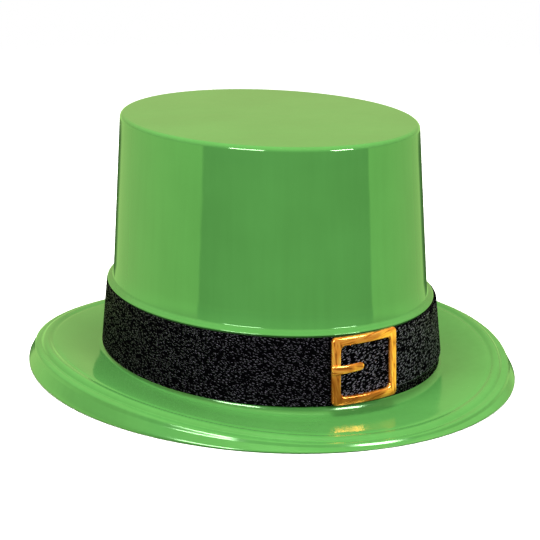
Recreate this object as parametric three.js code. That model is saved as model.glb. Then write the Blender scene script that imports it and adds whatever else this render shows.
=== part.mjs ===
// Leprechaun top hat: one thin plastic moulding for crown and brim, a black faux-leather band with
// its lapped end, and a gold buckle with its tongue on the front of the band.
// Millimetres, +Z up. The rim stands on z = 0, the buckle faces -Y, and the long axis of the head
// oval is Y. Every level of the hat is one oval: the head oval grown or shrunk by "out".
import * as THREE from "three";

// Driving dimensions of the plastic shell
const headHalfWidth = 82.9; // outside of the shell at the foot of the band, towards the ears
const headHalfLength = 104.0; // the same level, towards brow and nape
const hatHeight = 130.0; // table to the flat top of the crown
const plasticWall = 1.2; // thickness of the moulded sheet
const crownTaper = 11.2; // how far the crown's top edge is drawn in from the head oval
const topEdgeRadius = 2.4; // rounding between the crown's wall and its flat top
const shoulderDrop = 5.7; // how far the foot of the crown's wall is drawn in from the head oval
const shoulderRise = 3.0; // height of the bead above the band and of the hollow over it
const beadWidth = 0.9; // how far the bead stands out from the band's seat
const bandTop = 41.2; // upper edge of the band
const bandFoot = 8.2; // lower edge of the band
const seatTaper = 3.3; // how far the band's seat draws in from its foot to its upper edge
const filletRadius = 3.4; // inside rounding between the crown and the brim

// Driving dimensions of the brim
const brimWidth = 40.3; // head oval to the outermost rim
const rootHeight = 5.3; // mean height of the brim where it leaves the fillet
const rootLift = 1.6; // how much higher than that it is at the sides, and lower at front and back
const rollHeight = 8.3; // mean height of the crest of the rolled edge
const rollLift = 4.7; // how much higher the crest is at the sides, and lower at front and back
const skirtWidth = 6.7; // from the crease outside the roll to the rim
const lipHeight = 1.2; // upright edge at the very rim
const lipWidth = 1.7; // flat ring under the rim that stands on the table

// Driving dimensions of the band, its lapped end and the buckle
const seatGap = 0.3; // clearance between any two pieces that rest on each other
const bandThickness = 1.0;
const lapThickness = 0.8;
const lapStartAngle = -101; // degrees round the head oval, under the buckle's left bar
const lapEndAngle = -5; // degrees, past the right ear
const lapStep = 4.6; // how far the lap's lower edge stays above the band's, beyond the buckle
const lapInset = 0.4; // how far the lap's upper edge stays below the band's
const buckleWidth = 34.9; // along the band
const buckleHeight = 32.6; // up the band
const buckleBar = 4.1; // width of the frame's bars
const buckleThickness = 1.9;
const buckleBevel = 0.7; // rounding of the frame's edges
const buckleOuterRadius = 2.2; // outer corners of the frame
const buckleInnerRadius = 2.6; // corners of its window
const tongueWidth = 3.9;
const tongueThickness = 1.2;
const tongueLength = 16.0; // outer edge of the left bar to the tip
const tongueRaise = 1.3; // how far the tongue lies above the middle of the frame
const buckleShift = -1.0; // frame's middle from the front, along the band
const buckleRaise = 1.0; // frame's middle above the band's
const buckleSlope = 0.036; // climb of the frame's upper and lower bars to the right
const buckleLean = 0.046; // lean of its side bars to the right, as share of their height

// Fineness of the meshes
const ovalSteps = 60;
const arcSteps = 4;

const degree = Math.PI / 180;
const frontAngle = -90 * degree;
const bandHeight = bandTop - bandFoot;
const shoulderFoot = bandTop + seatGap;
const shoulderTop = shoulderFoot + shoulderRise;

// Materials
const green = new THREE.MeshStandardMaterial({ color: 0x62b054, roughness: 0.22, metalness: 0.0 });
const black = new THREE.MeshStandardMaterial({ color: 0x0b0b0d, roughness: 0.5, metalness: 0.0 });
const gold = new THREE.MeshStandardMaterial({ color: 0xdb8a39, roughness: 0.25, metalness: 1.0 });

// A point of the head oval grown by "out", at an angle from +X, lifted by "lift" at the sides
// and dropped by as much at front and back
function ovalPoint(angle, out, height, lift = 0) {
  const x = (headHalfWidth + out) * Math.cos(angle);
  const y = (headHalfLength + out) * Math.sin(angle);
  return new THREE.Vector3(x, y, height + lift * Math.cos(2 * angle));
}

// How far the band's seat stands out from the head oval at a height
function seatOut(height) {
  return (-seatTaper * (height - bandFoot)) / bandHeight;
}

// How far the straight wall of the crown stands out from the head oval at a height
const wallSlope = (crownTaper - shoulderDrop) / (hatHeight - shoulderTop);
function wallOut(height) {
  return -crownTaper + wallSlope * (hatHeight - height);
}

// A point on the band, at a distance along it from the front, a height, and a standing-off distance
function bandPoint(along, height, proud) {
  const out = seatOut(height) + seatGap + bandThickness + proud;
  const angle = frontAngle + along / (headHalfWidth + out);
  return ovalPoint(angle, out, height);
}

// A closed mesh from rings of equally many points, each joined to the next. Where capped is true
// the first and last rings are closed by flat ends, and otherwise the last joins the first.
function ringMesh(rings, capped) {
  const size = rings[0].length;
  const points = rings.flat();
  const index = [];
  const pairs = capped ? rings.length - 1 : rings.length;
  for (let r = 0; r < pairs; r++) {
    const here = r * size;
    const next = ((r + 1) % rings.length) * size;
    for (let i = 0; i < size; i++) {
      const j = (i + 1) % size;
      index.push(here + i, here + j, next + j);
      index.push(here + i, next + j, next + i);
    }
  }
  if (capped) {
    for (const [start, forward] of [[0, false], [(rings.length - 1) * size, true]]) {
      const ring = points.slice(start, start + size);
      const middle = new THREE.Vector3();
      ring.forEach((point) => middle.add(point));
      points.push(middle.divideScalar(size));
      for (let i = 0; i < size; i++) {
        const a = start + i;
        const b = start + ((i + 1) % size);
        index.push(...(forward ? [a, b, points.length - 1] : [b, a, points.length - 1]));
      }
    }
  }
  const geometry = new THREE.BufferGeometry();
  const positions = new Float32Array(points.flatMap((point) => point.toArray()));
  geometry.setAttribute("position", new THREE.BufferAttribute(positions, 3));
  geometry.setIndex(index);
  geometry.computeVertexNormals();
  return geometry;
}

// Profile of the shell's outside, from the edge of the flat top down and out to the rim, as rows
// of out, height and lift. Rows that only the outside has, because the sheet is thicker there, are
// marked solid.
function shellProfile() {
  const rows = [];
  const row = (out, height, lift = 0, solid = false) => rows.push({ out, height, lift, solid });

  // Rounding of the crown's top edge, tangent to the flat top and to the wall
  const wallAngle = Math.atan(wallSlope);
  const arcOut = wallOut(hatHeight - topEdgeRadius) - topEdgeRadius / Math.cos(wallAngle);
  for (let k = 0; k <= arcSteps; k++) {
    const angle = THREE.MathUtils.lerp(Math.PI / 2, wallAngle, k / arcSteps);
    row(arcOut + topEdgeRadius * Math.cos(angle),
      hatHeight - topEdgeRadius + topEdgeRadius * Math.sin(angle));
  }

  // From the wall through a hollow and over the bead to the band's seat. Down is a share of the
  // shoulder's rise, hollow a share of the wall's drop behind the seat, and bead of the bead's width.
  const drop = seatOut(shoulderFoot) - wallOut(shoulderTop);
  const shoulder = [
    { down: 0.38, hollow: 0.46, bead: 0 },
    { down: 0.6, hollow: 0, bead: 0.55 },
    { down: 0.83, hollow: 0, bead: 1 },
  ];
  row(wallOut(shoulderTop), shoulderTop);
  for (const { down, hollow, bead } of shoulder) {
    row(seatOut(shoulderFoot) - hollow * drop + bead * beadWidth, shoulderTop - down * shoulderRise, 0, true);
  }
  row(seatOut(shoulderFoot), shoulderFoot);

  // Inside rounding at the foot of the seat
  for (let k = 0; k <= arcSteps; k++) {
    const angle = ((k / arcSteps) * Math.PI) / 2;
    const lift = rootLift * (k / arcSteps);
    row(seatOut(rootHeight + filletRadius) + filletRadius * (1 - Math.cos(angle)),
      rootHeight + filletRadius * (1 - Math.sin(angle)), lift);
  }

  // The brim's rolled edge. Across is a share of the brim's width, height a share of the crest's
  // height, and lift a share of the crest's lift.
  const roll = [
    { across: 0.2, height: 0.685, lift: 0.43 },
    { across: 0.37, height: 0.78, lift: 0.62 },
    { across: 0.63, height: 0.915, lift: 0.9 },
    { across: 0.67, height: 0.9, lift: 0.925 },
    { across: 0.725, height: 0.98, lift: 0.975 },
    { across: 0.76, height: 1.0, lift: 1.0 },
    { across: 0.787, height: 0.965, lift: 1.0 },
  ];
  for (const { across, height, lift } of roll) {
    row(across * brimWidth, height * rollHeight, lift * rollLift);
  }

  // The skirt outside the crease, down to the upright edge of the rim. Across is a share of the
  // skirt's width, height and lift are shares of the crest's.
  const skirt = [
    { across: 0.0, height: 0.79, lift: 0.93 },
    { across: 0.33, height: 0.785, lift: 0.9 },
    { across: 0.65, height: 0.61, lift: 0.69 },
    { across: 0.87, height: 0.35, lift: 0.36 },
  ];
  for (const { across, height, lift } of skirt) {
    row(brimWidth - skirtWidth * (1 - across), height * rollHeight, lift * rollLift);
  }
  row(brimWidth, lipHeight);
  row(brimWidth, 0);
  return rows;
}

// The same profile one wall inside, for one angle round the oval, where outside is a list of
// points with x for out and y for height
function insideProfile(outside) {
  return outside.map((point, i) => {
    const before = outside[Math.max(i - 1, 0)];
    const after = outside[Math.min(i + 1, outside.length - 1)];
    const along = after.clone().sub(before).normalize();
    return new THREE.Vector2(point.x + along.y * plasticWall, point.y - along.x * plasticWall);
  });
}

// Crown and brim in one moulding: the outside from the top's middle to the rim, the flat ring
// under the rim, and the inside back up to the middle under the top
function hatShell() {
  const profile = shellProfile();
  const columns = [];
  for (let i = 0; i < ovalSteps; i++) {
    const angle = (i / ovalSteps) * 2 * Math.PI;
    const outside = profile.map(({ out, height, lift }) => (
      new THREE.Vector2(out, height + lift * Math.cos(2 * angle))
    ));
    const lined = outside.slice(0, -2).filter((_, r) => !profile[r].solid);
    const inside = insideProfile(lined);
    inside[0].set(lined[0].x, hatHeight - plasticWall);
    const standing = new THREE.Vector2(brimWidth - lipWidth, 0);
    const section = [...outside, standing, ...inside.reverse()];
    columns.push(section.map((point) => ovalPoint(angle, point.x, point.y)));
  }
  const rings = columns[0].map((_, r) => columns.map((column) => column[r]).reverse());
  return ringMesh(rings, true);
}

// A strip lying round the band's seat, from one ring of corners at each angle
function bandSection(angle, foot, top, proud, thickness) {
  const corner = (height, distance) => ovalPoint(angle, seatOut(height) + distance, height);
  const near = seatGap + proud;
  const far = near + thickness;
  return [corner(foot, near), corner(top, near), corner(top, far), corner(foot, far)];
}

function band() {
  const rings = [];
  for (let i = 0; i < ovalSteps; i++) {
    const angle = (i / ovalSteps) * 2 * Math.PI;
    rings.push(bandSection(angle, bandFoot, bandTop, 0, bandThickness));
  }
  return ringMesh(rings, false);
}

// The band's own end, lapped over it from under the buckle to the right. Its lower edge climbs
// behind the frame, and its end is rounded off.
function bandLap() {
  const rings = [];
  const step = 360 / ovalSteps;
  const inner = [];
  for (let angle = Math.ceil(lapStartAngle / step) * step; angle < lapEndAngle; angle += step) {
    if (angle > lapStartAngle) {
      inner.push(angle);
    }
  }
  for (const angle of [lapStartAngle, ...inner, lapEndAngle]) {
    const climb = THREE.MathUtils.smoothstep(angle, lapStartAngle, lapStartAngle + 24);
    const end = THREE.MathUtils.smoothstep(angle, lapEndAngle - step, lapEndAngle);
    const foot = bandFoot + lapStep * THREE.MathUtils.lerp(0.6, 1, climb) + end * lapStep;
    const top = bandTop - lapInset - end * lapStep;
    rings.push(bandSection(angle * degree, foot, top, bandThickness + seatGap, lapThickness));
  }
  return ringMesh(rings, true);
}

// The outline of a rectangle with rounded corners, as points of along and up from its middle
function roundedOutline(width, height, radius, sideSteps) {
  const outline = [];
  const corners = [[1, 1, 0], [-1, 1, 90], [-1, -1, 180], [1, -1, 270]];
  corners.forEach(([sideX, sideY, start], c) => {
    const centre = new THREE.Vector2(sideX * (width / 2 - radius), sideY * (height / 2 - radius));
    for (let k = 0; k <= arcSteps; k++) {
      const angle = (start + (90 * k) / arcSteps) * degree;
      const rim = new THREE.Vector2(Math.cos(angle), Math.sin(angle)).multiplyScalar(radius);
      outline.push(centre.clone().add(rim));
    }
    const [nextX, nextY] = corners[(c + 1) % 4];
    const nextStart = corners[(c + 1) % 4][2] * degree;
    const next = new THREE.Vector2(nextX * (width / 2 - radius), nextY * (height / 2 - radius));
    next.add(new THREE.Vector2(Math.cos(nextStart), Math.sin(nextStart)).multiplyScalar(radius));
    const last = outline[outline.length - 1];
    for (let k = 1; k < sideSteps; k++) {
      outline.push(last.clone().lerp(next, k / sideSteps));
    }
  });
  return outline;
}

// The square frame, bent to the band, with rounded edges
const frameProud = seatGap + lapThickness + seatGap;
const frameMiddle = (bandTop + bandFoot) / 2 + buckleRaise;

// A point of the buckle: across and up from the frame's middle, in its slightly skewed square
function bucklePoint(across, up, proud) {
  return bandPoint(buckleShift + across + buckleLean * up, frameMiddle + up + buckleSlope * across, proud);
}

function buckleFrame() {
  const sideSteps = 4;
  const outlines = [
    { inset: 0, radius: buckleOuterRadius, proud: 0 },
    { inset: 0, radius: buckleOuterRadius, proud: buckleThickness - buckleBevel },
    { inset: buckleBevel, radius: buckleOuterRadius - buckleBevel, proud: buckleThickness },
    { inset: buckleBar - buckleBevel, radius: buckleInnerRadius + buckleBevel, proud: buckleThickness },
    { inset: buckleBar, radius: buckleInnerRadius, proud: buckleThickness - buckleBevel },
    { inset: buckleBar, radius: buckleInnerRadius, proud: 0 },
  ];
  const loops = outlines.map(({ inset, radius, proud }) => {
    const width = buckleWidth - 2 * inset;
    const height = buckleHeight - 2 * inset;
    return roundedOutline(width, height, radius, sideSteps).map((point) => (
      bucklePoint(point.x, point.y, frameProud + proud)
    ));
  });
  const rings = loops[0].map((_, k) => loops.map((loop) => loop[k]).reverse());
  return ringMesh(rings, false);
}

// The tongue: a flat strip lying over the frame's left bar and down to a rounded tip
function buckleTongue() {
  const overBar = frameProud + buckleThickness + seatGap + tongueThickness / 2;
  const atTip = frameProud + tongueThickness / 2;
  const barOutside = -buckleWidth / 2;
  const barInside = barOutside + buckleBar;
  const tip = barOutside + tongueLength;
  const path = [
    { along: barOutside, proud: overBar, wide: 1.1 },
    { along: barInside, proud: overBar, wide: 1 },
  ];
  for (const share of [0.35, 0.7, 0.84, 0.93, 0.98, 1]) {
    const roundFrom = 0.7;
    const round = Math.max(0, (share - roundFrom) / (1 - roundFrom));
    path.push({
      along: THREE.MathUtils.lerp(barInside, tip, share),
      proud: THREE.MathUtils.lerp(overBar, atTip, THREE.MathUtils.smoothstep(share, 0, 1)),
      wide: Math.sqrt(1 - 0.85 * round * round),
    });
  }
  const rings = path.map(({ along, proud, wide }, k) => {
    const before = path[Math.max(k - 1, 0)];
    const after = path[Math.min(k + 1, path.length - 1)];
    const run = new THREE.Vector2(after.along - before.along, after.proud - before.proud).normalize();
    const half = (tongueWidth / 2) * wide;
    const corner = (side, face) => bucklePoint(
      along - (face * run.y * tongueThickness) / 2,
      tongueRaise + side * half,
      proud + (face * run.x * tongueThickness) / 2,
    );
    return [corner(-1, -1), corner(1, -1), corner(1, 1), corner(-1, 1)];
  });
  return ringMesh(rings, true);
}

// The hat
const hat = new THREE.Group();
const pieces = [
  ["hat_shell", hatShell, green],
  ["band", band, black],
  ["band_lap", bandLap, black],
  ["buckle_frame", buckleFrame, gold],
  ["buckle_tongue", buckleTongue, gold],
];
for (const [name, build, material] of pieces) {
  const mesh = new THREE.Mesh(build(), material);
  mesh.name = name;
  hat.add(mesh);
}

export default hat;
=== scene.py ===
import math

import bmesh
import bpy
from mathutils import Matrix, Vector


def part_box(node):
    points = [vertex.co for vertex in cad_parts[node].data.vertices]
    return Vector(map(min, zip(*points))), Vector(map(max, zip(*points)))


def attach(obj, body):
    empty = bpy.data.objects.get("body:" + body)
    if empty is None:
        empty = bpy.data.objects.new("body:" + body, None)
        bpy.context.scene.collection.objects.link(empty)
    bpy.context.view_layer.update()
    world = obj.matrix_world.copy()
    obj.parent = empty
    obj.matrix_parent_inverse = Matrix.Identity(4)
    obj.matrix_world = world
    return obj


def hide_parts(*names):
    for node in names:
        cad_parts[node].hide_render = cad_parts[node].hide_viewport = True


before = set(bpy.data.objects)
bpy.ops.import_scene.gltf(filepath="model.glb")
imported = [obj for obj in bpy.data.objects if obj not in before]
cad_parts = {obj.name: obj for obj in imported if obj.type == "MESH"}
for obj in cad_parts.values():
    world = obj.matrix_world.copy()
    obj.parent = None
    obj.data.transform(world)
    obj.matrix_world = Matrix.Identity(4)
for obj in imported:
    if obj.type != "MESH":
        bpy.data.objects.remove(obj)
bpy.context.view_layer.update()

MM = 0.001
MM_PER_CM = 10
CM_PER_M = 100
DEGREE = math.pi / 180

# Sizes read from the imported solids
shell_low, shell_high = (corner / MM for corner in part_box("hat_shell"))
band_low, band_high = (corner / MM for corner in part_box("band"))
HAT_HEIGHT = shell_high.z
BAND_FOOT = band_low.z
BAND_TOP = band_high.z

# Shell
BRIM_WIDTH = 40.3
HEAD_HALF_WIDTH = shell_high.x - BRIM_WIDTH
HEAD_HALF_LENGTH = shell_high.y - BRIM_WIDTH
SHEET = 1.2
CROWN_TAPER = 11.2
TOP_EDGE_RADIUS = 2.4
SHOULDER_DROP = 5.7
SHOULDER_RISE = 3.0
BEAD = 0.9
SEAT_TAPER = 3.3
FILLET_RADIUS = 3.4
ROOT_HEIGHT = 5.3
ROOT_LIFT = 1.6
LIP_WIDTH = 1.7

# Strap, lapped end and buckle
GAP = 0.3
SHOULDER_FOOT = BAND_TOP + GAP
SHOULDER_TOP = SHOULDER_FOOT + SHOULDER_RISE
STRAP = 1.0
STRAP_ROUNDING = 0.35
LAP = 0.8
LAP_START = -101.0
LAP_END = -5.0
LAP_STEP = 4.6
LAP_INSET = 0.4
BUCKLE_WIDTH = 34.9
BUCKLE_HEIGHT = 32.6
BUCKLE_BAR = 4.1
BUCKLE_THICKNESS = 1.9
BUCKLE_ROUNDING = 0.75
BUCKLE_CROWN = 0.12
BUCKLE_OUTER_RADIUS = 2.2
BUCKLE_INNER_RADIUS = 2.6
BUCKLE_ACROSS = -1.0
BUCKLE_RAISE = 1.0
BUCKLE_SLOPE = 0.036
BUCKLE_LEAN = 0.046
TONGUE_WIDTH = 3.9
TONGUE_THICKNESS = 1.2
TONGUE_LENGTH = 16.0
TONGUE_RAISE = 1.3
# The tongue's chart runs along it, and is laid this far beside the frame's
TONGUE_CHART = 30.0


def blend(low, high, share):
    return low + (high - low) * share


def smooth(value, start, stop):
    share = min(max((value - start) / (stop - start), 0.0), 1.0)
    return share * share * (3 - 2 * share)


# Node work, for shaders and for geometry trees alike


class Wire:
    """A socket of a node tree that can be used in sums."""

    def __init__(self, bench, socket):
        self.bench = bench
        self.socket = socket

    def math(self, operation, *values, **settings):
        sockets = dict(enumerate(values))
        return self.bench.add("ShaderNodeMath", {"operation": operation, **settings}, sockets)

    def __add__(self, other):
        return self.math("ADD", self, other)

    def __radd__(self, other):
        return self.math("ADD", other, self)

    def __sub__(self, other):
        return self.math("SUBTRACT", self, other)

    def __rsub__(self, other):
        return self.math("SUBTRACT", other, self)

    def __mul__(self, other):
        return self.math("MULTIPLY", self, other)

    def __rmul__(self, other):
        return self.math("MULTIPLY", other, self)

    def __truediv__(self, other):
        return self.math("DIVIDE", self, other)

    def __rtruediv__(self, other):
        return self.math("DIVIDE", other, self)

    def __pow__(self, other):
        return self.math("POWER", self, other)

    def clamped(self):
        return self.math("ADD", self, 0.0, use_clamp=True)


class Bench:
    """A node tree under construction."""

    def __init__(self, tree):
        self.tree = tree

    def add(self, kind, settings=None, sockets=None, out=0):
        """A node of that kind, with its settings made first and then its sockets filled or linked."""
        node = self.tree.nodes.new(kind)
        for name, value in (settings or {}).items():
            if name == "stops":
                ramp = node.color_ramp
                while len(ramp.elements) > 1:
                    ramp.elements.remove(ramp.elements[-1])
                ramp.elements[0].position, ramp.elements[0].color = value[0]
                for position, colour in value[1:]:
                    ramp.elements.new(position).color = colour
            else:
                setattr(node, name, value)
        for name, value in (sockets or {}).items():
            socket = node.inputs[name]
            if isinstance(value, Wire):
                self.tree.links.new(value.socket, socket)
            else:
                socket.default_value = value
        if out is None or not node.outputs:
            return node
        return Wire(self, node.outputs[out])

    def mix(self, factor, first, second):
        """A colour between two others."""
        settings = {"data_type": "RGBA", "blend_type": "MIX"}
        return self.add("ShaderNodeMix", settings, {0: factor, 6: first, 7: second}, out=2)

    def reach(self, value, start, full):
        """A share that grows softly from 0, where the value is at start, to 1, where it is at full."""
        return self.add("ShaderNodeMapRange", {"interpolation_type": "SMOOTHSTEP"}, {
            "Value": value, "From Min": start, "From Max": full})

    def noise(self, where, scale, detail=2.0, roughness=0.5, distortion=0.0):
        return self.add("ShaderNodeTexNoise", None, {
            "Vector": where, "Scale": scale, "Detail": detail,
            "Roughness": roughness, "Distortion": distortion})

    def placed(self, where, scale=(1.0, 1.0, 1.0), turn=(0.0, 0.0, 0.0)):
        """Coordinates scaled and then turned."""
        return self.add("ShaderNodeMapping", None, {"Vector": where, "Rotation": turn, "Scale": scale})

    def bump(self, height, strength, distance, under=None):
        sockets = {"Height": height, "Strength": strength, "Distance": distance}
        if under is not None:
            sockets["Normal"] = under
        return self.add("ShaderNodeBump", None, sockets)


def finish_of(name, fixed):
    """A new material: its bench and its main shader, whose fixed sockets are set on the shader."""
    material = bpy.data.materials.new(name)
    material.use_nodes = True
    material.node_tree.nodes.clear()
    bench = Bench(material.node_tree)
    shader = bench.add("ShaderNodeBsdfPrincipled", None, fixed, out=None)
    bench.add("ShaderNodeOutputMaterial", None, {"Surface": Wire(bench, shader.outputs[0])})
    return material, bench, shader


def feed(bench, shader, wires):
    for name, wire in wires.items():
        bench.tree.links.new(wire.socket, shader.inputs[name])


PLASTIC_DEEP = (0.052, 0.184, 0.040, 1)
PLASTIC_LIGHT = (0.059, 0.205, 0.046, 1)
PLASTIC_DUST = (0.30, 0.55, 0.24, 1)
MATT_FROM = 16 * MM
MATT_FULL = 6 * MM


def green_plastic():
    """Glossy moulded sheet: faint clouds, draw lines up the wall, dust, smears and a duller brim."""
    material, bench, shader = finish_of("green_plastic", {"IOR": 1.5, "Metallic": 0.22})
    where = bench.add("ShaderNodeTexCoord", None, None, out=3)
    clouds = bench.noise(where, 22.0, 3.0)
    drawn = bench.noise(bench.placed(where, scale=(1.0, 1.0, 0.06)), 260.0, 2.0)
    smears = bench.noise(bench.placed(where, scale=(1.0, 1.0, 0.35)), 40.0, 4.0, 0.6)
    dust = bench.add("ShaderNodeTexVoronoi", None, {"Vector": where, "Scale": 420.0})
    speck = bench.reach(dust, 0.10, 0.02)
    tone = (0.72 * clouds + 0.28 * drawn).clamped()
    colour = bench.mix(bench.reach(tone, 0.3, 0.7), PLASTIC_DEEP, PLASTIC_LIGHT)
    colour = bench.mix(speck * 0.05, colour, PLASTIC_DUST)
    parts = bench.add("ShaderNodeSeparateXYZ", None, {0: where}, out=None)
    matt_brim = bench.reach(Wire(bench, parts.outputs[2]), MATT_FROM, MATT_FULL)
    roughness = 0.05 + 0.04 * bench.reach(smears, 0.35, 0.75) + 0.12 * speck + 0.09 * matt_brim
    sheet = bench.bump(bench.noise(where, 34.0, 2.0), 0.12, 0.0012)
    lines = bench.bump(drawn, 0.05, 0.0002, under=sheet)
    normal = bench.bump(bench.noise(where, 1400.0, 2.0), 0.04, 0.00008, under=lines)
    feed(bench, shader, {"Base Color": colour, "Roughness": roughness, "Normal": normal})
    return material


PEBBLES_PER_CM = 9.8
LEATHER_TINT = (0.80, 0.70, 1.0, 1)
LEATHER_FLANK = (0.001, 0.001, 0.0012, 1)
LEATHER_FURROW = (0.0006, 0.0006, 0.0008, 1)


def black_leather(name, turn, stretch, sheen, tone, smooth_edge):
    """Pebbled faux leather: glossy slanting pebbles, and matt near-black furrows between them.

    turn slants the pebbles, stretch lengthens them, tone is how grey their crowns are, worn and partly
    a painted sheen, and below smooth_edge, in centimetres up the chart, the leather shines all over,
    its furrows barely matt.
    """
    material, bench, shader = finish_of(name, {
        "Specular IOR Level": sheen, "Specular Tint": LEATHER_TINT})
    where = bench.add("ShaderNodeUVMap", {"uv_map": "UVMap"}, None)
    wander = bench.add("ShaderNodeTexNoise", None, {
        "Vector": where, "Scale": 4.0, "Detail": 2.0}, out=1)
    wander = bench.add("ShaderNodeVectorMath", {"operation": "SCALE"}, {0: wander, "Scale": 0.13})
    bent = bench.add("ShaderNodeVectorMath", {"operation": "ADD"}, {0: where, 1: wander})
    laid = bench.placed(bench.placed(bent, turn=(0.0, 0.0, turn)), scale=stretch)
    cells = bench.add("ShaderNodeTexVoronoi", {"feature": "F1"}, {
        "Vector": laid, "Scale": PEBBLES_PER_CM}, out=None)
    near = Wire(bench, cells.outputs["Distance"])
    own = Wire(bench, cells.outputs["Color"])
    edges = bench.add("ShaderNodeTexVoronoi", {"feature": "DISTANCE_TO_EDGE"}, {
        "Vector": laid, "Scale": PEBBLES_PER_CM})
    furrow = bench.reach(edges, 0.05, 0.20)
    dome = bench.reach(near, 0.70, 0.08)
    own_tone = bench.add("ShaderNodeSeparateColor", None, {0: own})
    grain = bench.noise(where, 30.0, 3.0)
    height = (0.7 * dome + 0.3 * furrow) * (0.65 + 0.35 * own_tone)
    worn_and_sheen = bench.reach(dome * furrow + 0.5 * (grain - 0.5), 0.33, 0.58)
    shine = worn_and_sheen * (0.50 + 0.40 * bench.reach(own_tone, 0.10, 0.75))
    chart = bench.add("ShaderNodeSeparateXYZ", None, {0: where}, out=None)
    edge = bench.reach(Wire(bench, chart.outputs[1]), smooth_edge + 0.05, smooth_edge)
    shine = (shine + 0.9 * edge).clamped()
    # Painted sheen, in part: tone greys the worn pebble crowns, a little bluish, standing in for their
    # shine
    colour = bench.mix(worn_and_sheen, LEATHER_FLANK, (tone, 0.99 * tone, 1.18 * tone, 1))
    roughness = 0.22 + 0.14 * grain + 0.10 * own_tone
    pebbles = bench.bump(height, 1.0, 0.0005)
    normal = bench.bump(grain, 0.5, 0.00008, under=pebbles)
    feed(bench, shader, {"Base Color": colour, "Roughness": roughness, "Normal": normal})
    matt = bench.add("ShaderNodeBsdfPrincipled", None, {
        "Base Color": LEATHER_FURROW, "Roughness": 0.9, "Specular IOR Level": 0.0}, out=None)
    both = bench.add("ShaderNodeMixShader", None, {
        0: shine, 1: Wire(bench, matt.outputs[0]), 2: Wire(bench, shader.outputs[0])})
    ends = [node for node in bench.tree.nodes if node.type == "OUTPUT_MATERIAL"]
    bench.tree.links.new(both.socket, ends[0].inputs["Surface"])
    return material


GOLD_RAMP = [
    (0.0, (0.66, 0.20, 0.024, 1)),
    (0.45, (0.98, 0.35, 0.050, 1)),
    (0.8, (1.0, 0.43, 0.070, 1)),
    (1.0, (1.0, 0.53, 0.11, 1)),
]
GOLD_PAINTED_SHADE = (0.30, 0.085, 0.006, 1)
GOLD_LINE = (0.30, 0.078, 0.007, 1)
STREAK_SLANT = -0.15
STREAK_STRETCH = 0.13
STREAK_SCALE = 8.0


def gold_metal():
    """Warm gold foil: streaks along each bar with dark lines among them, partly painted reflection,
    patches, scratches, and painted shade towards the lower left.
    """
    material, bench, shader = finish_of("gold_metal", {"Metallic": 0.72})
    where = bench.add("ShaderNodeTexCoord", None, None, out=3)
    chart = bench.add("ShaderNodeUVMap", {"uv_map": "UVMap"}, None)
    sides = bench.add("ShaderNodeSeparateXYZ", None, {0: chart}, out=None)
    across, up = (Wire(bench, sides.outputs[i]) for i in range(2))
    upright = bench.reach(across.math("ABSOLUTE", across) - up.math("ABSOLUTE", up), -0.12, 0.12)
    turned = bench.placed(chart, turn=(0.0, 0.0, STREAK_SLANT))
    drawn_up = bench.placed(turned, scale=(1.0, STREAK_STRETCH, 1.0))
    drawn_across = bench.placed(turned, scale=(STREAK_STRETCH, 1.0, 1.0))
    along_up = bench.noise(drawn_up, STREAK_SCALE, 2.0, 0.5, 0.5)
    along_across = bench.noise(drawn_across, STREAK_SCALE, 2.0, 0.5, 0.5)
    streaks = along_across + (along_up - along_across) * upright
    line = bench.reach(streaks, 0.43, 0.36)
    patches = bench.noise(where, 85.0, 2.0)
    brushed = bench.placed(where, scale=(1.0, 1.0, 0.05), turn=(0.0, 0.9, 0.0))
    scratches = bench.noise(brushed, 2600.0, 2.0)
    # Streak tones, partly painted reflection: the ramp runs from deep to pale gold along the bars
    tone = (0.6 * bench.reach(streaks, 0.42, 0.66) + 0.4 * bench.reach(patches, 0.35, 0.65)).clamped()
    colour = bench.add("ShaderNodeValToRGB", {"stops": GOLD_RAMP}, {0: tone})
    # Painted shade: the gold is darkened towards the lower left of the buckle
    aslant = bench.add("ShaderNodeVectorMath", {"operation": "DOT_PRODUCT"}, {
        0: where, 1: (0.6, 0, 1.4)}, out=1)
    painted_shade_lower_left = bench.reach(aslant, 0.030, 0.012)
    colour = bench.mix(painted_shade_lower_left * (0.62 + 0.38 * (1 - tone)), colour, GOLD_PAINTED_SHADE)
    # The dark lines among the streaks are partly painted reflection too
    colour = bench.mix(line * 0.8, colour, GOLD_LINE)
    roughness = 0.10 + 0.06 * scratches + 0.04 * patches
    wavy = bench.bump(streaks, 0.35, 0.0004)
    normal = bench.bump(scratches, 0.06, 0.00004, under=wavy)
    feed(bench, shader, {"Base Color": colour, "Roughness": roughness, "Normal": normal})
    return material


PLASTIC = green_plastic()
LEATHER = black_leather(
    "black_leather", turn=-0.25, stretch=(0.52, 1.45, 1.0), sheen=0.52, tone=0.020, smooth_edge=-1.0)
# The lapped end's pebble crowns are greyer than the strap's, partly a stronger painted sheen
LEATHER_END = black_leather(
    "black_leather_end", turn=-0.38, stretch=(0.42, 1.6, 1.0), sheen=1.0, tone=0.092, smooth_edge=1.30)
GOLD = gold_metal()


# Points of the hat. Every level is the head oval grown by "out".


def oval_point(angle, out, height, lift=0.0):
    """A point of the grown head oval, lifted at the sides and dropped as much at front and back."""
    return Vector((
        (HEAD_HALF_WIDTH + out) * math.cos(angle),
        (HEAD_HALF_LENGTH + out) * math.sin(angle),
        height + lift * math.cos(2 * angle)))


def seat_out(height):
    return -SEAT_TAPER * (height - BAND_FOOT) / (BAND_TOP - BAND_FOOT)


WALL_SLOPE = (CROWN_TAPER - SHOULDER_DROP) / (HAT_HEIGHT - SHOULDER_TOP)


def wall_out(height):
    return -CROWN_TAPER + WALL_SLOPE * (HAT_HEIGHT - height)


def strap_point(along, height, proud):
    """A point over the strap's face, along it from the front, up it, and standing off it."""
    out = seat_out(height) + GAP + STRAP + proud
    return oval_point(-math.pi / 2 + along / (HEAD_HALF_WIDTH + out), out, height)


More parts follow.
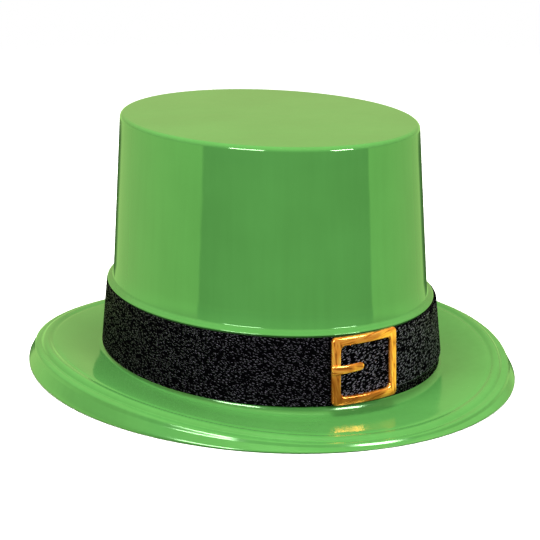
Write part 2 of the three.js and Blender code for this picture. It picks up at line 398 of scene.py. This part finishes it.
def through(points, steps):
    """A smooth run through points of any number of sizes."""
    run = []
    last = len(points) - 1
    for i in range(last):
        four = [Vector(points[min(max(k, 0), last)]) for k in (i - 1, i, i + 1, i + 2)]
        for k in range(steps):
            t = k / steps
            a, b, c, d = four
            run.append(0.5 * (2 * b + (c - a) * t + (2 * a - 5 * b + 4 * c - d) * t * t
                              + (3 * b - a - 3 * c + d) * t ** 3))
    run.append(Vector(points[last]))
    return run


TOP_SHARES = (0.0, 0.25, 0.5, 0.75, 0.9, 0.97)
ARC_STEPS = 12
WALL_STEPS = 10
SEAT_STEPS = 5


def shell_outside():
    """Rows of out, height, lift and share of the oval, from the top's middle to the rim."""
    rows = []
    wall_angle = math.atan(WALL_SLOPE)
    arc_out = wall_out(HAT_HEIGHT - TOP_EDGE_RADIUS) - TOP_EDGE_RADIUS / math.cos(wall_angle)
    for share in TOP_SHARES:
        rows.append((arc_out, HAT_HEIGHT, 0.0, share))
    for k in range(ARC_STEPS + 1):
        angle = blend(math.pi / 2, wall_angle, k / ARC_STEPS)
        rows.append((
            arc_out + TOP_EDGE_RADIUS * math.cos(angle),
            HAT_HEIGHT - TOP_EDGE_RADIUS * (1 - math.sin(angle)), 0.0, 1.0))
    wall_start = rows[-1][1]
    for k in range(1, WALL_STEPS):
        height = blend(wall_start, SHOULDER_TOP, k / WALL_STEPS)
        rows.append((wall_out(height), height, 0.0, 1.0))
    # Over the bead that stands out above the band: share of the way down, and out past the seat
    bead = [
        (0.0, wall_out(SHOULDER_TOP) - seat_out(SHOULDER_FOOT)),
        (0.22, -1.95),
        (0.38, -1.1),
        (0.50, -0.1),
        (0.60, 0.55 * BEAD),
        (0.72, 0.93 * BEAD),
        (0.83, BEAD),
        (0.93, 0.7 * BEAD),
        (1.0, 0.0),
    ]
    for share, proud in through(bead, 3):
        height = blend(SHOULDER_TOP, SHOULDER_FOOT, share)
        rows.append((seat_out(SHOULDER_FOOT) + proud, height, 0.0, 1.0))
    foot = ROOT_HEIGHT + FILLET_RADIUS
    for k in range(1, SEAT_STEPS):
        height = blend(SHOULDER_FOOT, foot, k / SEAT_STEPS)
        rows.append((seat_out(height), height, 0.0, 1.0))
    for k in range(ARC_STEPS + 1):
        angle = math.pi / 2 * k / ARC_STEPS
        rows.append((
            seat_out(foot) + FILLET_RADIUS * (1 - math.cos(angle)),
            foot - FILLET_RADIUS * math.sin(angle), ROOT_LIFT * k / ARC_STEPS, 1.0))
    # Across the brim: out, height at the sides and height at front and back
    brim = [
        (rows[-1][0], ROOT_HEIGHT + ROOT_LIFT, ROOT_HEIGHT - ROOT_LIFT),
        (8.0, 7.7, 3.65),
        (15.0, 9.4, 3.55),
        (21.0, 10.9, 3.4),
        (25.4, 11.8, 3.35),
        (27.0, 11.8, 3.1),
        (27.9, 12.0, 3.15),
        (29.2, 12.7, 3.55),
        (30.6, 12.95, 3.6),
        (31.7, 12.7, 3.3),
        (32.6, 12.0, 2.8),
        (33.2, 11.25, 2.35),
        (33.6, 10.95, 2.2),
        (34.4, 10.95, 2.25),
        (35.6, 10.75, 2.35),
        (36.4, 10.3, 2.3),
        (36.8, 9.85, 2.15),
        (37.05, 9.2, 1.8),
        (37.3, 8.5, 1.3),
        (37.5, 7.95, 1.0),
        (37.8, 7.3, 0.9),
        (38.6, 5.5, 0.85),
        (39.4, 3.7, 0.75),
        (40.05, 2.1, 0.65),
        (40.3, 1.2, 0.45),
    ]
    for out, side, front in through(brim, 4)[1:]:
        rows.append((out, (side + front) / 2, (side - front) / 2, 1.0))
    return rows


def shell_rows():
    """The outside, the flat ring on the table, and the inside back to the middle of the top."""
    outside = shell_outside()
    standing = [
        (BRIM_WIDTH, 0.35, 0.0, 1.0),
        (BRIM_WIDTH - 0.3, 0.0, 0.0, 1.0),
        (BRIM_WIDTH - LIP_WIDTH, 0.0, 0.0, 1.0),
    ]
    inside = []
    for i, (out, height, lift, share) in enumerate(outside):
        if share < 1.0:
            inside.append((out, height - SHEET, lift, share))
            continue
        if SHOULDER_FOOT <= height < SHOULDER_TOP:
            continue
        before = outside[max(i - 1, 0)]
        after = outside[min(i + 1, len(outside) - 1)]
        along = Vector((after[0] - before[0], after[1] - before[1])).normalized()
        inside.append((out + along.y * SHEET, height - along.x * SHEET, lift, share))
    inside = [row for row in inside if row[1] - row[2] > 0.1]
    return outside + standing + inside[::-1]


def strap_rows():
    """The strap's section: a thin rectangle with rounded edges, leaning with its seat."""
    edge = STRAP_ROUNDING
    rows = []
    inner, outer = edge, STRAP - edge
    for centre_proud, centre_height, start in (
        (inner, BAND_FOOT + edge, 270), (inner, BAND_TOP - edge, 180),
        (outer, BAND_TOP - edge, 90), (outer, BAND_FOOT + edge, 0),
    ):
        for k in range(5):
            angle = (start - 90 * k / 4) * DEGREE
            level = centre_height + edge * math.sin(angle)
            proud = centre_proud + edge * math.cos(angle)
            rows.append((seat_out(level) + GAP + proud, level, 0.0, 1.0))
        if start == 90:
            for k in range(1, 8):
                level = blend(BAND_TOP - edge, BAND_FOOT + edge, k / 8)
                rows.append((seat_out(level) + GAP + STRAP, level, 0.0, 1.0))
    return rows + rows[:1]


# Oval loft: a geometry tree that carries a section round the head oval


def oval_loft_tree():
    tree = bpy.data.node_groups.new("oval_loft", "GeometryNodeTree")
    face = tree.interface
    face.new_socket("Section", in_out="INPUT", socket_type="NodeSocketGeometry")
    face.new_socket("Head half width", in_out="INPUT", socket_type="NodeSocketFloat")
    face.new_socket("Head half length", in_out="INPUT", socket_type="NodeSocketFloat")
    face.new_socket("Steps round", in_out="INPUT", socket_type="NodeSocketInt")
    face.new_socket("Finish", in_out="INPUT", socket_type="NodeSocketMaterial")
    face.new_socket("Loft", in_out="OUTPUT", socket_type="NodeSocketGeometry")
    bench = Bench(tree)
    given = bench.add("NodeGroupInput", out=None)
    section, half_width, half_length, steps, finish = (Wire(bench, given.outputs[i]) for i in range(5))

    rows = bench.add("GeometryNodeAttributeDomainSize", None, {0: section})
    columns = steps + 1
    grid = bench.add("GeometryNodeMeshGrid", None, {"Vertices X": rows, "Vertices Y": columns})
    index = bench.add("GeometryNodeInputIndex")
    row = columns.math("FLOOR", index / columns)
    column = columns.math("MODULO", index, columns)

    def sampled(value, kind, socket):
        return bench.add("GeometryNodeSampleIndex", {"data_type": kind}, {
            0: section, socket: value, "Index": row})

    def named(name):
        return bench.add("GeometryNodeInputNamedAttribute", {"data_type": "FLOAT"}, {"Name": name})

    place = sampled(bench.add("GeometryNodeInputPosition"), "FLOAT_VECTOR", "Value")
    share = sampled(named("share"), "FLOAT", "Value")
    run = sampled(named("run"), "FLOAT", "Value")
    parts = bench.add("ShaderNodeSeparateXYZ", None, {0: place}, out=None)
    out, height, lift = (Wire(bench, parts.outputs[i]) for i in range(3))
    angle = column / steps * (2 * math.pi)
    x = (half_width + out) * share * angle.math("COSINE", angle)
    y = (half_length + out) * share * angle.math("SINE", angle)
    z = height + lift * angle.math("COSINE", angle * 2)
    point = bench.add("ShaderNodeCombineXYZ", None, {0: x, 1: y, 2: z})
    around = angle * (half_width + half_length) / 2

    def stored(mesh, name, value, kind="FLOAT", domain="POINT"):
        return bench.add("GeometryNodeStoreNamedAttribute", {"data_type": kind, "domain": domain}, {
            "Geometry": mesh, "Name": name, "Value": value})

    mesh = stored(grid, "around", around)
    mesh = stored(mesh, "up_section", run)
    mesh = bench.add("GeometryNodeSetPosition", None, {"Geometry": mesh, "Position": point})
    chart = bench.add("ShaderNodeCombineXYZ", None, {
        0: named("around") * CM_PER_M, 1: named("up_section") * CM_PER_M})
    mesh = stored(mesh, "UVMap", chart, "FLOAT2", "CORNER")
    mesh = bench.add("GeometryNodeMergeByDistance", None, {"Geometry": mesh, "Distance": 0.000002})
    for name in ("around", "up_section"):
        mesh = bench.add("GeometryNodeRemoveAttribute", None, {"Geometry": mesh, "Name": name})
    mesh = bench.add("GeometryNodeSetShadeSmooth", None, {"Geometry": mesh, "Shade Smooth": True})
    mesh = bench.add("GeometryNodeRealizeInstances", None, {"Geometry": mesh})
    mesh = bench.add("GeometryNodeSetMaterial", None, {"Geometry": mesh, "Material": finish})
    bench.add("NodeGroupOutput", None, {0: mesh})
    return tree


OVAL_LOFT = oval_loft_tree()


def put(mesh, name):
    """A mesh as an object of the scene, standing where its vertices are."""
    piece = bpy.data.objects.new(name, mesh)
    bpy.context.scene.collection.objects.link(piece)
    return piece


def lofted(name, rows, steps, finish):
    """A piece made by the oval loft from rows of out, height, lift and share, in millimetres."""
    section = bpy.data.meshes.new(name + "_section")
    section.from_pydata([(out * MM, height * MM, lift * MM) for out, height, lift, _ in rows], [], [])
    shares = section.attributes.new("share", "FLOAT", "POINT")
    runs = section.attributes.new("run", "FLOAT", "POINT")
    run = 0.0
    for i, (out, height, _, share) in enumerate(rows):
        if i:
            run += math.hypot(out - rows[i - 1][0], height - rows[i - 1][1]) * MM
        shares.data[i].value = share
        runs.data[i].value = run
    piece = put(section, name)
    modifier = piece.modifiers.new("loft", "NODES")
    modifier.node_group = OVAL_LOFT
    sizes = {"Head half width": HEAD_HALF_WIDTH * MM, "Head half length": HEAD_HALF_LENGTH * MM,
             "Steps round": steps, "Finish": finish}
    for item in OVAL_LOFT.interface.items_tree:
        if item.in_out == "INPUT" and item.name in sizes:
            modifier[item.identifier] = sizes[item.name]
    return baked(piece)


def baked(piece):
    """The piece with its modifiers worked into a plain mesh, its faces turned outwards."""
    view = bpy.context.evaluated_depsgraph_get()
    mesh = bpy.data.meshes.new_from_object(piece.evaluated_get(view))
    piece.modifiers.clear()
    piece.data = mesh
    outwards(mesh)
    return piece


def outwards(mesh):
    work = bmesh.new()
    work.from_mesh(mesh)
    if work.calc_volume(signed=True) < 0:
        bmesh.ops.reverse_faces(work, faces=work.faces)
    work.to_mesh(mesh)
    work.free()


def ring_mesh(name, rings, charts, finish, capped):
    """A closed skin over rings of points, in millimetres, with a chart point for each point."""
    size = len(rings[0])
    points = [point * MM for ring in rings for point in ring]
    flat = [(u / MM_PER_CM, v / MM_PER_CM) for chart in charts for u, v in chart]
    faces = []
    pairs = len(rings) - 1 if capped else len(rings)
    for r in range(pairs):
        here, after = r * size, (r + 1) % len(rings) * size
        for i in range(size):
            j = (i + 1) % size
            faces.append((here + i, here + j, after + j, after + i))
    if capped:
        faces.append(tuple(range(size))[::-1])
        faces.append(tuple(range(len(points) - size, len(points))))
    mesh = bpy.data.meshes.new(name)
    mesh.from_pydata(points, [], faces)
    layer = mesh.uv_layers.new(name="UVMap")
    for loop in mesh.loops:
        layer.data[loop.index].uv = flat[loop.vertex_index]
    mesh.materials.append(finish)
    mesh.polygons.foreach_set("use_smooth", [True] * len(mesh.polygons))
    outwards(mesh)
    return put(mesh, name)


# Hat shell, strap and its lapped end

ROUND_STEPS = 288
LAP_STEPS = 110
LAP_CLIMB = 24
LAP_TIP = 9.0
LAP_TIP_INSET = 11
LAP_TIP_POWER = 2.4

def hat_shell():
    return lofted("moulded_shell", shell_rows(), ROUND_STEPS, PLASTIC)


def strap():
    return lofted("strap", strap_rows(), ROUND_STEPS, LEATHER)


def crowded(share):
    """Shares that crowd together towards the end, for the round tip."""
    return 1 - (1 - share) ** 1.6


def strap_end():
    """The strap's own end, lapped over it from under the buckle, with soft edges and a round tip."""
    edge = LAP / 2
    angles = [LAP_START + (LAP_END - LAP_START) * crowded(k / LAP_STEPS) for k in range(LAP_STEPS + 1)]
    rings = []
    charts = []
    for angle in angles:
        climb = smooth(angle, LAP_START, LAP_START + LAP_CLIMB)
        left = (LAP_END - angle) / LAP_TIP
        tip = 1 - math.sqrt(max(0.0, 1 - max(0.0, 1 - left) ** LAP_TIP_POWER))
        foot = BAND_FOOT + LAP_STEP * blend(0.6, 1, climb) + tip * LAP_TIP_INSET
        top = BAND_TOP - LAP_INSET - tip * LAP_TIP_INSET
        ring = []
        chart = []
        along = (angle - LAP_START) * DEGREE * (HEAD_HALF_WIDTH + HEAD_HALF_LENGTH) / 2
        levels = [top - (top - foot) * k / 8 for k in range(1, 8)]
        outline = []
        for k in range(7):
            turn = (180 - 180 * k / 6) * DEGREE
            outline.append((math.cos(turn), top - edge + edge * math.sin(turn)))
        outline += [(1.0, level) for level in levels]
        for k in range(7):
            turn = -180 * k / 6 * DEGREE
            outline.append((math.cos(turn), foot + edge + edge * math.sin(turn)))
        outline += [(-1.0, level) for level in levels[::-1]]
        for side, level in outline:
            thick = LAP if left > 0.03 else LAP * 0.8
            proud = GAP + STRAP + GAP + LAP / 2 + side * thick / 2
            ring.append(oval_point(angle * DEGREE, seat_out(level) + proud, level))
            chart.append((along, level))
        rings.append(ring)
        charts.append(chart)
    return ring_mesh("strap_end", rings, charts, LEATHER_END, True)


# Buckle


FRAME_PROUD = GAP + LAP + GAP
FRAME_MIDDLE = (BAND_TOP + BAND_FOOT) / 2


def rounded_outline(width, height, radius, corner_steps, side_steps):
    outline = []
    corners = [(1, 1, 0), (-1, 1, 90), (-1, -1, 180), (1, -1, 270)]
    for side_x, side_y, start in corners:
        for k in range(corner_steps + 1):
            angle = (start + 90 * k / corner_steps) * DEGREE
            outline.append(Vector((
                side_x * (width / 2 - radius) + radius * math.cos(angle),
                side_y * (height / 2 - radius) + radius * math.sin(angle))))
    full = []
    for i, point in enumerate(outline):
        full.append(point)
        if i % (corner_steps + 1) == corner_steps:
            after = outline[(i + 1) % len(outline)]
            full += [point.lerp(after, k / side_steps) for k in range(1, side_steps)]
    return full


def frame_point(x, y, proud):
    """A point of the buckle, which sits a little to the left, sloping up and leaning to the right."""
    along = BUCKLE_ACROSS + x + BUCKLE_LEAN * y
    return strap_point(along, FRAME_MIDDLE + BUCKLE_RAISE + y + BUCKLE_SLOPE * x, proud)


def buckle_frame():
    """The square frame, bent to the band: flat face, rounded edges, softly crowned bars."""
    bevel = BUCKLE_ROUNDING
    section = [(0.0, -BUCKLE_CROWN), (0.0, BUCKLE_THICKNESS - bevel - BUCKLE_CROWN)]
    for k in range(1, 6):
        angle = 90 * k / 5 * DEGREE
        inset = bevel * (1 - math.cos(angle))
        section.append((inset, BUCKLE_THICKNESS - bevel * (1 - math.sin(angle)) - BUCKLE_CROWN))
    section.append((BUCKLE_BAR / 2, BUCKLE_THICKNESS))
    section += [(BUCKLE_BAR - inset, proud) for inset, proud in section[::-1][1:]]
    loops = []
    for inset, proud in section:
        share = inset / BUCKLE_BAR
        radius = blend(BUCKLE_OUTER_RADIUS, BUCKLE_INNER_RADIUS, share)
        outline = rounded_outline(BUCKLE_WIDTH - 2 * inset, BUCKLE_HEIGHT - 2 * inset, radius, 10, 26)
        loops.append([(point.x, point.y, proud) for point in outline])
    rings = []
    charts = []
    for k in range(len(loops[0])):
        ring = [loop[k] for loop in loops]
        rings.append([frame_point(x, y, FRAME_PROUD + proud) for x, y, proud in ring])
        charts.append([(x, y) for x, y, _ in ring])
    return ring_mesh("gold_frame", rings, charts, GOLD, False)


def boxed(value):
    """A sine or cosine that makes a rounded box of a circle."""
    return math.copysign(abs(value) ** 0.6, value)


def buckle_tongue():
    """The tongue, lying over the frame's left bar and down to a rounded tip."""
    bar_out = -BUCKLE_WIDTH / 2
    bar_in = bar_out + BUCKLE_BAR
    tip = bar_out + TONGUE_LENGTH
    over = FRAME_PROUD + BUCKLE_THICKNESS + 0.12 + TONGUE_THICKNESS / 2
    low = FRAME_PROUD + TONGUE_THICKNESS / 2 + 0.05
    path = [
        (bar_out - 0.2, over - 0.55),
        (bar_out, over - 0.18),
        (bar_out + 0.6, over),
        (bar_in - 0.6, over),
    ]
    for share in (0.1, 0.25, 0.45, 0.65, 0.85, 1.0):
        path.append((blend(bar_in, tip, share), blend(over, low + 0.25, smooth(share, 0, 1))))
    run = through(path, 8)
    rings = []
    charts = []
    around = 20
    for k, place in enumerate(run):
        before, after = run[max(k - 1, 0)], run[min(k + 1, len(run) - 1)]
        along = (after - before).normalized()
        left = max(0.0, tip - place.x)
        wide = 1.0 if left > 2.2 else math.sqrt(max(0.03, 1 - (1 - left / 2.2) ** 2))
        thick = 1.0 if left > 0.8 else blend(0.45, 1.0, left / 0.8)
        flare = 1 + 0.12 * smooth(place.x, bar_in + 1.0, bar_out)
        ring = []
        chart = []
        for n in range(around):
            turn = 2 * math.pi * n / around
            across = boxed(math.cos(turn)) * TONGUE_WIDTH / 2 * wide * flare
            face = boxed(math.sin(turn)) * TONGUE_THICKNESS / 2 * thick
            x, proud = place.x - face * along.y, place.y + face * along.x
            ring.append(frame_point(x, TONGUE_RAISE + across, proud))
            chart.append((across + TONGUE_CHART, place.x))
        rings.append(ring)
        charts.append(chart)
    return ring_mesh("gold_tongue", rings, charts, GOLD, True)


PIECES = [
    (hat_shell, "hat_shell", "green_plastic"),
    (strap, "band", "black_leather"),
    (strap_end, "band_lap", "black_leather"),
    (buckle_frame, "buckle_frame", "gold_metal"),
    (buckle_tongue, "buckle_tongue", "gold_metal"),
]
for make, node, slot in PIECES:
    piece = make()
    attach(piece, "root")
    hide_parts(node)


# Studio: a pale floor, a light tent that is open in front, two softboxes and a lamp overhead


def direction(azimuth, elevation):
    """Out from the hat, in degrees: azimuth 0 is the buckle's side, -Y, and 90 is +X."""
    a, e = azimuth * DEGREE, elevation * DEGREE
    return Vector((math.sin(a) * math.cos(e), -math.cos(a) * math.cos(e), math.sin(e)))


FLOOR_RADIUS = 1.5
FLOOR_SIDES = 96


def pale_floor():
    """A round pale floor that fades into the white of the backdrop."""
    mesh = bpy.data.meshes.new("floor")
    turns = [2 * math.pi * k / FLOOR_SIDES for k in range(FLOOR_SIDES)]
    rim = [(FLOOR_RADIUS * math.cos(a), FLOOR_RADIUS * math.sin(a), 0.0) for a in turns]
    mesh.from_pydata(rim, [], [tuple(range(FLOOR_SIDES))])
    material, bench, shader = finish_of("floor_paint", {
        "Base Color": (0.80, 0.80, 0.80, 1), "Roughness": 0.9})
    where = bench.add("ShaderNodeTexCoord", None, None, out=3)
    away = bench.add("ShaderNodeVectorMath", {"operation": "LENGTH"}, {0: where}, out=1)
    feed(bench, shader, {"Alpha": bench.reach(away, 1.35, 0.45)})
    mesh.materials.append(material)
    floor = put(mesh, "floor")
    floor.location.z = -0.0002
    floor.visible_glossy = False
    floor.visible_diffuse = False


OPENING_AZIMUTH = -29
CLOTH_LOW = (0.98, 1.58, 0.50, 1)
CLOTH_BEHIND = (0.58, 0.94, 0.28, 1)
CLOTH_HIGH = (0.46, 0.43, 0.185, 1)
OPENING = (0.03, 0.05, 0.02, 1)
SOFT_FRONT = (0.64, 0.64, 0.64, 1)
SOFT_SIDES = (0.76, 0.76, 0.76, 1)
BACKDROP = (1.0, 1.0, 1.0, 1)


def tent():
    """The world: lit cloth all round, dim at an opening in front and at one behind.

    Gloss mirrors the cloth, diffuse light is a plain soft grey, and the backdrop shows white.
    """
    world = bpy.data.worlds.new("tent")
    world.use_nodes = True
    world.node_tree.nodes.clear()
    bench = Bench(world.node_tree)
    where = bench.add("ShaderNodeTexCoord")
    parts = bench.add("ShaderNodeSeparateXYZ", None, {0: where}, out=None)
    x, y, z = (Wire(bench, parts.outputs[i]) for i in range(3))
    middle = direction(OPENING_AZIMUTH, 0)
    flat = (x * x + y * y + 0.0001) ** 0.5
    facing = (x * middle.x + y * middle.y) / flat
    opening = bench.reach(facing, 0.31, 0.34) * bench.reach(z, 0.80, 0.62)
    opening = opening * (1.0 - 0.12 * bench.reach(z, -0.06, -0.10))
    behind = bench.reach(facing, -0.88, -0.93) * bench.reach(z, -0.12, -0.17)
    cloth = bench.mix(bench.reach(facing, -0.2, -0.95), CLOTH_LOW, CLOTH_BEHIND)
    cloth = bench.mix(bench.reach(z, -0.05, 0.15), cloth, CLOTH_HIGH)
    cloth = bench.mix((opening + 0.95 * behind).clamped(), cloth, OPENING)
    path = bench.add("ShaderNodeLightPath", None, None, out=None)
    mirrored = Wire(bench, path.outputs["Is Glossy Ray"])
    seen = Wire(bench, path.outputs["Is Camera Ray"])
    soft = bench.mix(bench.reach(facing, 0.6, -0.4), SOFT_FRONT, SOFT_SIDES)
    colour = bench.mix(mirrored, soft, cloth)
    colour = bench.mix(seen, colour, BACKDROP)
    sky = bench.add("ShaderNodeBackground", None, {"Color": colour})
    bench.add("ShaderNodeOutputWorld", None, {"Surface": sky})
    bpy.context.scene.world = world


# Lamps: name, azimuth, elevation, width, height, power, and whether gloss mirrors them
LAMPS = [
    ("softbox_left", -69.5, 26, 0.87, 0.4, 35, True),
    ("softbox_right", 14.8, 26, 0.70, 0.4, 36, True),
    ("overhead", -29, 86, 1.2, 1.2, 96, False),
]
LAMP_COLOUR = (1.0, 0.985, 0.95)
LAMP_DISTANCE = 2.0
LAMP_AIM = Vector((0, 0, 0.06))


def lamp_at(name, azimuth, elevation, wide, tall, power, mirrored):
    light = bpy.data.lights.new(name, "AREA")
    light.shape = "RECTANGLE"
    light.size, light.size_y = wide, tall
    light.energy = power
    light.color = LAMP_COLOUR
    lamp = bpy.data.objects.new(name, light)
    lamp.visible_glossy = mirrored
    bpy.context.scene.collection.objects.link(lamp)
    lamp.location = LAMP_AIM + direction(azimuth, elevation) * LAMP_DISTANCE
    lamp.rotation_mode = "QUATERNION"
    lamp.rotation_quaternion = direction(azimuth, elevation).to_track_quat("Z", "Y")


def camera():
    """The photograph's view, solved from the hat's outline."""
    azimuth, elevation, roll, distance = -27.0, 15.172, -0.065, 869.54
    right_shift, up_shift = 1.478, 46.151
    focal_pixels, frame_pixels, sensor = 1631.81, 540, 36
    back = direction(azimuth, elevation)
    right = (-back).cross(Vector((0, 0, 1))).normalized()
    up = right.cross(-back)
    turn = roll * DEGREE
    cos, sin = math.cos(turn), math.sin(turn)
    right, up = right * cos + up * sin, up * cos - right * sin
    data = bpy.data.cameras.new("camera")
    data.sensor_width = sensor
    data.lens = focal_pixels / frame_pixels * sensor
    data.clip_start, data.clip_end = 0.01, 50
    eye = bpy.data.objects.new("camera", data)
    bpy.context.scene.collection.objects.link(eye)
    place = (right * right_shift + up * up_shift + back * distance) * MM
    matrix = eye.matrix_world.to_3x3()
    for column, axis in enumerate((right, up, back)):
        for row in range(3):
            matrix[row][column] = axis[row]
    eye.matrix_world = matrix.to_4x4()
    eye.location = place
    bpy.context.scene.camera = eye


pale_floor()
tent()
for lamp in LAMPS:
    lamp_at(*lamp)
camera()
bpy.context.scene.view_settings.view_transform = "Standard"
